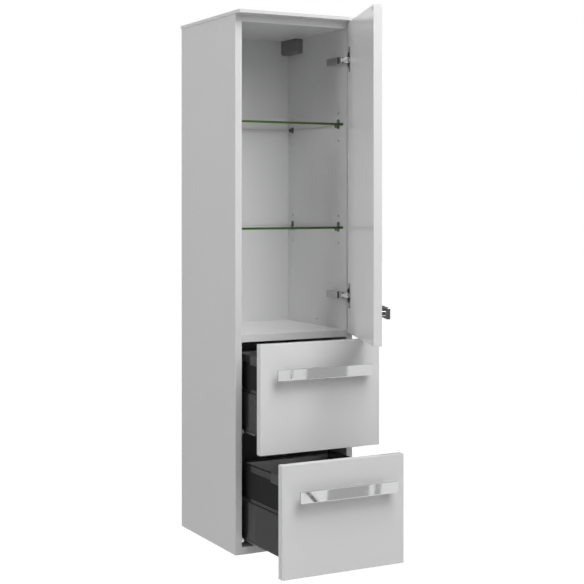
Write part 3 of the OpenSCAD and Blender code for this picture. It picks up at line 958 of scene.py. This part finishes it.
@dataclass(frozen=True)
class GlassShelf:
    """A loose glass shelf with ground edges."""

    node: str
    arris: float = 0.45 * MM
    corner: float = 1.0 * MM
    steps: int = 4
    smooth_under: float = 30.0

    def build(self, shop: FinishShop) -> None:
        """Makes the sheet: clear faces, green edge wall.

        Args:
            shop: the finishes.
        """
        low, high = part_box(self.node)
        skin = Skin()
        skin.slab(low, high, Axis.Z, self.corner, self.arris, self.steps, wall=1)
        glass = [shop.of(Slot.GLASS), shop.of(Extra.GLASS_EDGE)]
        made = skin.piece(f"{self.node}_sheet", glass, self.smooth_under)
        settle(made, "cabinet", [self.node])


@dataclass(frozen=True)
class Bumpers:
    """Clear domes on the door's inner face, near its free edge."""

    pose: DoorPose
    radius: float = 4.25 * MM
    rise: float = 1.5 * MM
    inset: float = 8.0 * MM
    fullness: float = 0.6
    tip_gap: float = 0.05
    steps: int = 10

    def build(self, shop: FinishShop) -> None:
        """Makes both domes.

        A dome's radius is R * cos(t) ** fullness at the height h * sin(t), so it leaves the door
        steeply and is nearly flat on top. The last ring, just short of the tip, closes it.

        Args:
            shop: the finishes.
        """
        turn = np.linspace(0, math.pi / 2 - self.tip_gap, self.steps)
        radius = self.radius * np.cos(turn) ** self.fullness
        dome = np.stack([self.rise * np.sin(turn), radius], -1)
        profile = np.concatenate([[[0.0, self.radius]], dome])
        low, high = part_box("door_panel")
        skin = Skin()
        body = self.pose.carcass
        x = -(body.half_width - self.pose.margin) + self.inset
        for z in (low.z + self.inset, high.z - self.inset):
            skin.turned(profile, (x, body.front - self.pose.standoff, z), Axis.Y)
        skin.points = [self.pose.place(np.concatenate(skin.points))]
        made = skin.piece("door_bumper_domes", [shop.of(Slot.CLEAR)])
        settle(made, "door", ["door_bumpers"])


@dataclass(frozen=True)
class Door:
    """The door's own pieces."""

    pose: DoorPose
    handle: Handle = Handle()
    thickness: float = 18.0 * MM
    handle_rise: float = 65.0 * MM

    def build(self, shop: FinishShop) -> None:
        """Makes the handle and the bumpers.

        Args:
            shop: the finishes.
        """
        skin = self.handle.skin()
        low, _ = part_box("door_panel")
        face = self.pose.carcass.front - self.pose.standoff - self.thickness
        points = np.concatenate(skin.points) + np.array([0, face, low.z + self.handle_rise])
        skin.points = [self.pose.place(points)]
        # Material 1, the bar's back, is the darker plating that is partly painted shade.
        made = skin.piece("door_bar_handle", [shop.of(Slot.CHROME), shop.of(Extra.BAR_BACK)])
        settle(made, "door", ["door_handle"])
        Bumpers(self.pose).build(shop)


@dataclass(frozen=True)
class Drawer:
    """One drawer's own piece."""

    name: str
    handle: Handle = Handle()
    handle_drop: float = 65.0 * MM

    def build(self, shop: FinishShop) -> None:
        """Makes the handle.

        Args:
            shop: the finishes.
        """
        low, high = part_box(f"{self.name}_front")
        skin = self.handle.skin()
        place = np.array([0, low.y, high.z - self.handle_drop])
        skin.points = [np.concatenate(skin.points) + place]
        # The second finish darkens the bar's back: partly painted shade.
        chrome = [shop.of(Slot.CHROME), shop.of(Extra.BAR_BACK)]
        made = skin.piece(f"{self.name}_bar_handle", chrome)
        settle(made, f"{self.name}_drawer", [f"{self.name}_handle"])


@dataclass(frozen=True)
class HingeClips:
    """The black clips on the hinge arms, in front of the arm covers.

    Each is a row of ribs, given by their two sides behind the carcass's front. They rise from
    the arm's top, which is set off from the side panel's inner face.
    """

    carcass: Carcass
    top: float = -17.2 * MM
    rise: float = 0.8 * MM
    sunk: float = 0.1 * MM
    half: float = 7.5 * MM
    edge: float = 0.3 * MM
    steps: int = 4
    ribs: tuple[tuple[float, float], ...] = (
        (8.6 * MM, 11.9 * MM), (4.8 * MM, 6.0 * MM), (1.4 * MM, 2.4 * MM)
    )

    def build(self, shop: FinishShop) -> None:
        """Makes the ribs across each arm.

        Args:
            shop: the finishes.
        """
        skin = Skin()
        x, y = self.carcass.inner + self.top, self.carcass.front
        for z in self.carcass.hinge_levels:
            for near, far in self.ribs:
                skin.slab(
                    (x - self.rise, y + near, z - self.half),
                    (x + self.sunk, y + far, z + self.half),
                    Axis.Z, self.edge, self.edge, self.steps,
                )
        made = skin.piece("hinge_arm_clips", [shop.of(Extra.CLIP)])
        settle(made, "cabinet")


@dataclass(frozen=True)
class HingeCovers:
    """The pressed covers on the hinge arms, each with a raised field and a dimple.

    The dimple's profile holds heights and radii as shares of the raised field's height and of
    the dimple's radius.
    """

    carcass: Carcass
    corner: float = 1.3 * MM
    edge: float = 0.7 * MM
    raised: float = 0.35 * MM
    margin: float = 1.8 * MM
    dimple: float = 2.2 * MM
    profile: tuple[tuple[float, float], ...] = (
        (-1.0, 1.0), (0.6, 0.98), (0.6, 0.7), (-0.2, 0.45), (-0.3, 0.05)
    )
    around: int = 24

    def build(self, shop: FinishShop) -> None:
        """Makes both covers within the box of the node.

        Args:
            shop: the finishes.
        """
        low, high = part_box("hinge_arm_covers")
        levels = self.carcass.hinge_levels
        half = (high.z - low.z - (levels[1] - levels[0])) / 2
        rear = high.y - 4 * self.dimple
        ring = np.array(self.profile) * (self.raised, self.dimple)
        skin = Skin()
        for z in levels:
            skin.slab(
                (low.x + self.raised, low.y, z - half), (high.x, high.y, z + half),
                Axis.X, self.corner, self.edge,
            )
            skin.slab(
                (low.x, low.y + self.margin, z - half + self.margin),
                (low.x + 2 * self.raised, rear, z + half - self.margin),
                Axis.X, self.corner, self.raised,
            )
            centre = (low.x + self.raised, rear + 2 * self.dimple, z)
            skin.turned(ring, centre, Axis.X, -1, self.around)
        made = skin.piece("hinge_cover_caps", [shop.of(Slot.NICKEL)])
        settle(made, "cabinet", ["hinge_arm_covers"])


# The studio


@dataclass(frozen=True)
class Card:
    """An upright card across y that glows with its grey, though it is no lamp, and that only
    polished and glossy faces show: a painted reflection.

    It is given by the x of its sides, the z of its edges, its grey, the y of its place, and how
    far its top leans to the right.
    """

    left: float
    right: float
    bottom: float
    top: float
    grey: float
    place: float = -3.44
    lean: float = 0.0
    thickness: float = 4.0 * MM

    def build(self, name: str) -> None:
        """Makes the card as a thin glowing plate, hidden from all but glossy rays.

        Args:
            name: the name of its object and its material.
        """
        # The grey is emitted, not lit: the card is a painted reflection.
        material = Recipe.named(name).finish(
            Base_Color=BLACK, Specular_IOR_Level=0.0,
            Emission_Color=(self.grey, self.grey, self.grey), Emission_Strength=1.0,
        )
        skin = Skin()
        low = (self.left, self.place, self.bottom)
        high = (self.right, self.place + self.thickness, self.top)
        skin.slab(low, high, Axis.Y, 0.0, 0.0, 2)
        points = np.concatenate(skin.points)
        points[:, 0] += self.lean * (points[:, 2] - self.bottom) / (self.top - self.bottom)
        skin.points = [points]
        made = skin.piece(name, [material])
        made.visible_camera = made.visible_diffuse = made.visible_shadow = False
        made.visible_transmission = False


@dataclass(frozen=True)
class Lamp:
    """A square soft lamp on a sphere about the object, facing its middle.

    Its bearing is the angle to the right of the front, seen from above, and its height the angle
    above the level, both in degrees. Its power is in watts.
    """

    name: str
    bearing: float
    height: float
    power: float
    size: float = 2.0
    distance: float = 3.6
    middle: Triple = (0.0, -0.25, 0.6)

    def build(self) -> None:
        """Adds the lamp.

        With the bearing b and the height h, its way from the middle is sin b * cos h to the
        right, cos b * cos h to the front and sin h upwards.
        """
        data = bpy.data.lights.new(self.name, "AREA")
        data.shape = "SQUARE"
        data.size = self.size
        data.energy = self.power
        turn, rise = math.radians(self.bearing), math.radians(self.height)
        level = math.cos(rise)
        way = Vector((math.sin(turn) * level, -math.cos(turn) * level, math.sin(rise)))
        made = bpy.data.objects.new(self.name, data)
        made.location = Vector(self.middle) + self.distance * way
        made.rotation_euler = (-way).to_track_quat("-Z", "Y").to_euler()
        bpy.context.scene.collection.objects.link(made)


@dataclass(frozen=True)
class Floor:
    """A wide pale floor that the camera, gloss and glass see as bright as the world.

    Its glow for those rays follows the stops, by the share of its reach that lies between a
    point and the object, because the lamps' light on it falls off with that distance.
    """

    level: float = -1.0
    reach: float = 30.0
    thickness: float = 0.02
    corner: float = 0.01
    edge: float = 0.001
    colour: Colour = (0.86, 0.86, 0.86)
    glow: Stops = ((0.04, 0.75), (0.2, 1.0))

    def build(self) -> None:
        """Makes the floor as a thin slab."""
        r = Recipe.named("pale_floor")
        seen = r.direct_rays()
        away = r.node("ShaderNodeVectorMath", {"operation": "LENGTH"}, {0: r.place()}, "Value")
        glow = r.ramp(away * (1 / self.reach), self.glow)
        r.finish(
            Base_Color=self.colour, Roughness=1.0, Specular_IOR_Level=0.0,
            Emission_Color=r.blend(seen, BLACK, glow), Emission_Strength=1.0,
        )
        low = (-self.reach, -self.reach, self.level - self.thickness)
        high = (self.reach, self.reach, self.level)
        skin = Skin()
        skin.slab(low, high, Axis.Z, self.corner, self.edge, 2)
        skin.piece("pale_floor", [r.owner])


@dataclass(frozen=True)
class View:
    """The photograph's view: level, turned to the right of the wall's normal, and shifted."""

    sensor: float = 36.0
    lens: float = 81.28
    shift: tuple[float, float] = (-0.0092, -0.1550)
    place: Triple = (-1.39997, -2.94493, 0.78417)
    heading: float = -28.02
    far: float = 100.0

    def build(self, scene: bpy.types.Scene) -> None:
        """Makes the camera and gives it to the scene.

        Args:
            scene: the scene.
        """
        data = bpy.data.cameras.new("camera")
        data.sensor_width = self.sensor
        data.lens = self.lens
        data.shift_x, data.shift_y = self.shift
        data.clip_end = self.far
        made = bpy.data.objects.new("camera", data)
        made.location = self.place
        made.rotation_euler = (math.pi / 2, 0.0, math.radians(self.heading))
        scene.collection.objects.link(made)
        scene.camera = made


@dataclass(frozen=True)
class Studio:
    """Floor, lamps, surroundings and camera.

    The first five cards stand behind the camera, and the last two far behind the cabinet.
    """

    ambient: float = 0.06
    ground: Floor = Floor()
    view: View = View()
    # Glowing cards that only reflections show: painted reflections.
    cards: tuple[Card, ...] = (
        Card(1.566, 1.789, -0.95, 0.80, 0.58),
        Card(1.821, 1.853, -0.95, -0.30, 0.58),
        Card(1.5065, 1.5275, -0.62, -0.50, 0.14, lean=-0.074),
        Card(1.480, 1.485, -0.06, 0.06, 0.25, lean=0.008),
        Card(-0.46, -0.10, 0.10, 0.55, 0.12),
        Card(-2.60, -0.45, -0.95, 1.90, 0.3, place=1.9),
        Card(0.90, 2.60, -0.95, 1.90, 0.12, place=1.9),
    )
    lamps: tuple[Lamp, ...] = (
        Lamp("key_lamp", 3.0, 55.0, 74.0),
        Lamp("front_lamp", 3.0, 33.0, 35.0),
        Lamp("near_left_lamp", -46.0, 28.0, 3.0),
        Lamp("left_lamp", -92.0, 22.0, 51.0),
        Lamp("right_lamp", 78.0, 20.0, 7.0),
        Lamp("back_lamp", 165.0, 50.0, 16.0),
    )

    def open(self) -> None:
        """Makes all of it."""
        scene = bpy.context.scene
        scene.view_settings.view_transform = "Standard"
        self.surroundings(scene)
        self.ground.build()
        for number, card in enumerate(self.cards):
            card.build(f"glowing_reflection_card_{number}")
        for lamp in self.lamps:
            lamp.build()
        self.view.build(scene)

    def surroundings(self, scene: bpy.types.Scene) -> None:
        """A white surrounding for the camera, gloss and glass, and a plain level for the rest.

        Args:
            scene: the scene.
        """
        scene.world = bpy.data.worlds.new("studio_white")
        r = Recipe(scene.world)
        dim, white = (
            r.node("ShaderNodeBackground", {}, {"Color": WHITE, "Strength": strength})
            for strength in (self.ambient, 1.0)
        )
        mixed = r.node("ShaderNodeMixShader", {}, {0: r.direct_rays(), 1: dim, 2: white})
        r.node("ShaderNodeOutputWorld", {}, {"Surface": mixed})


def dress_nodes(frame: dict[str, Any], shop: FinishShop) -> None:
    """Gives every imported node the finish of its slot, or its own.

    Args:
        frame: the loaded frame.
        shop: the finishes.
    """
    uses: dict[str, Slot | Extra] = {
        row["node"]: Slot(row["material_slot"]) for row in frame["record"]["subparts"]
    }
    uses |= dict.fromkeys(("hinge_outer_links", "hinge_inner_links"), Extra.POLISHED)
    uses |= dict.fromkeys(("hinge_cups", "hinge_cup_screws"), Extra.BURNISHED)
    uses |= dict.fromkeys(("upper_middle_rails", "lower_middle_rails"), Extra.BURNISHED)
    uses |= dict.fromkeys(("upper_back_wall", "lower_back_wall"), Extra.BACK_WALL)
    for name, node in frame["nodes"].items():
        material = shop.of(uses[name])
        if node.material_slots:
            for held in node.material_slots:
                held.material = material
        else:
            node.data.materials.append(material)
        LOG.info("node %s in %s", name, material.name)


def main() -> None:
    """Builds the scene in order."""
    logging.basicConfig(level=logging.INFO, format="%(name)s: %(message)s")
    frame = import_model()
    Studio().open()
    shop = FinishShop()
    shop.open()
    dress_nodes(frame, shop)
    carcass = Carcass()
    for node in ("glass_shelf_upper", "glass_shelf_lower"):
        GlassShelf(node).build(shop)
    Door(DoorPose(carcass)).build(shop)
    for name in ("upper", "lower"):
        Drawer(name).build(shop)
    HingeClips(carcass).build(shop)
    HingeCovers(carcass).build(shop)


if __name__ == "__main__":
    main()
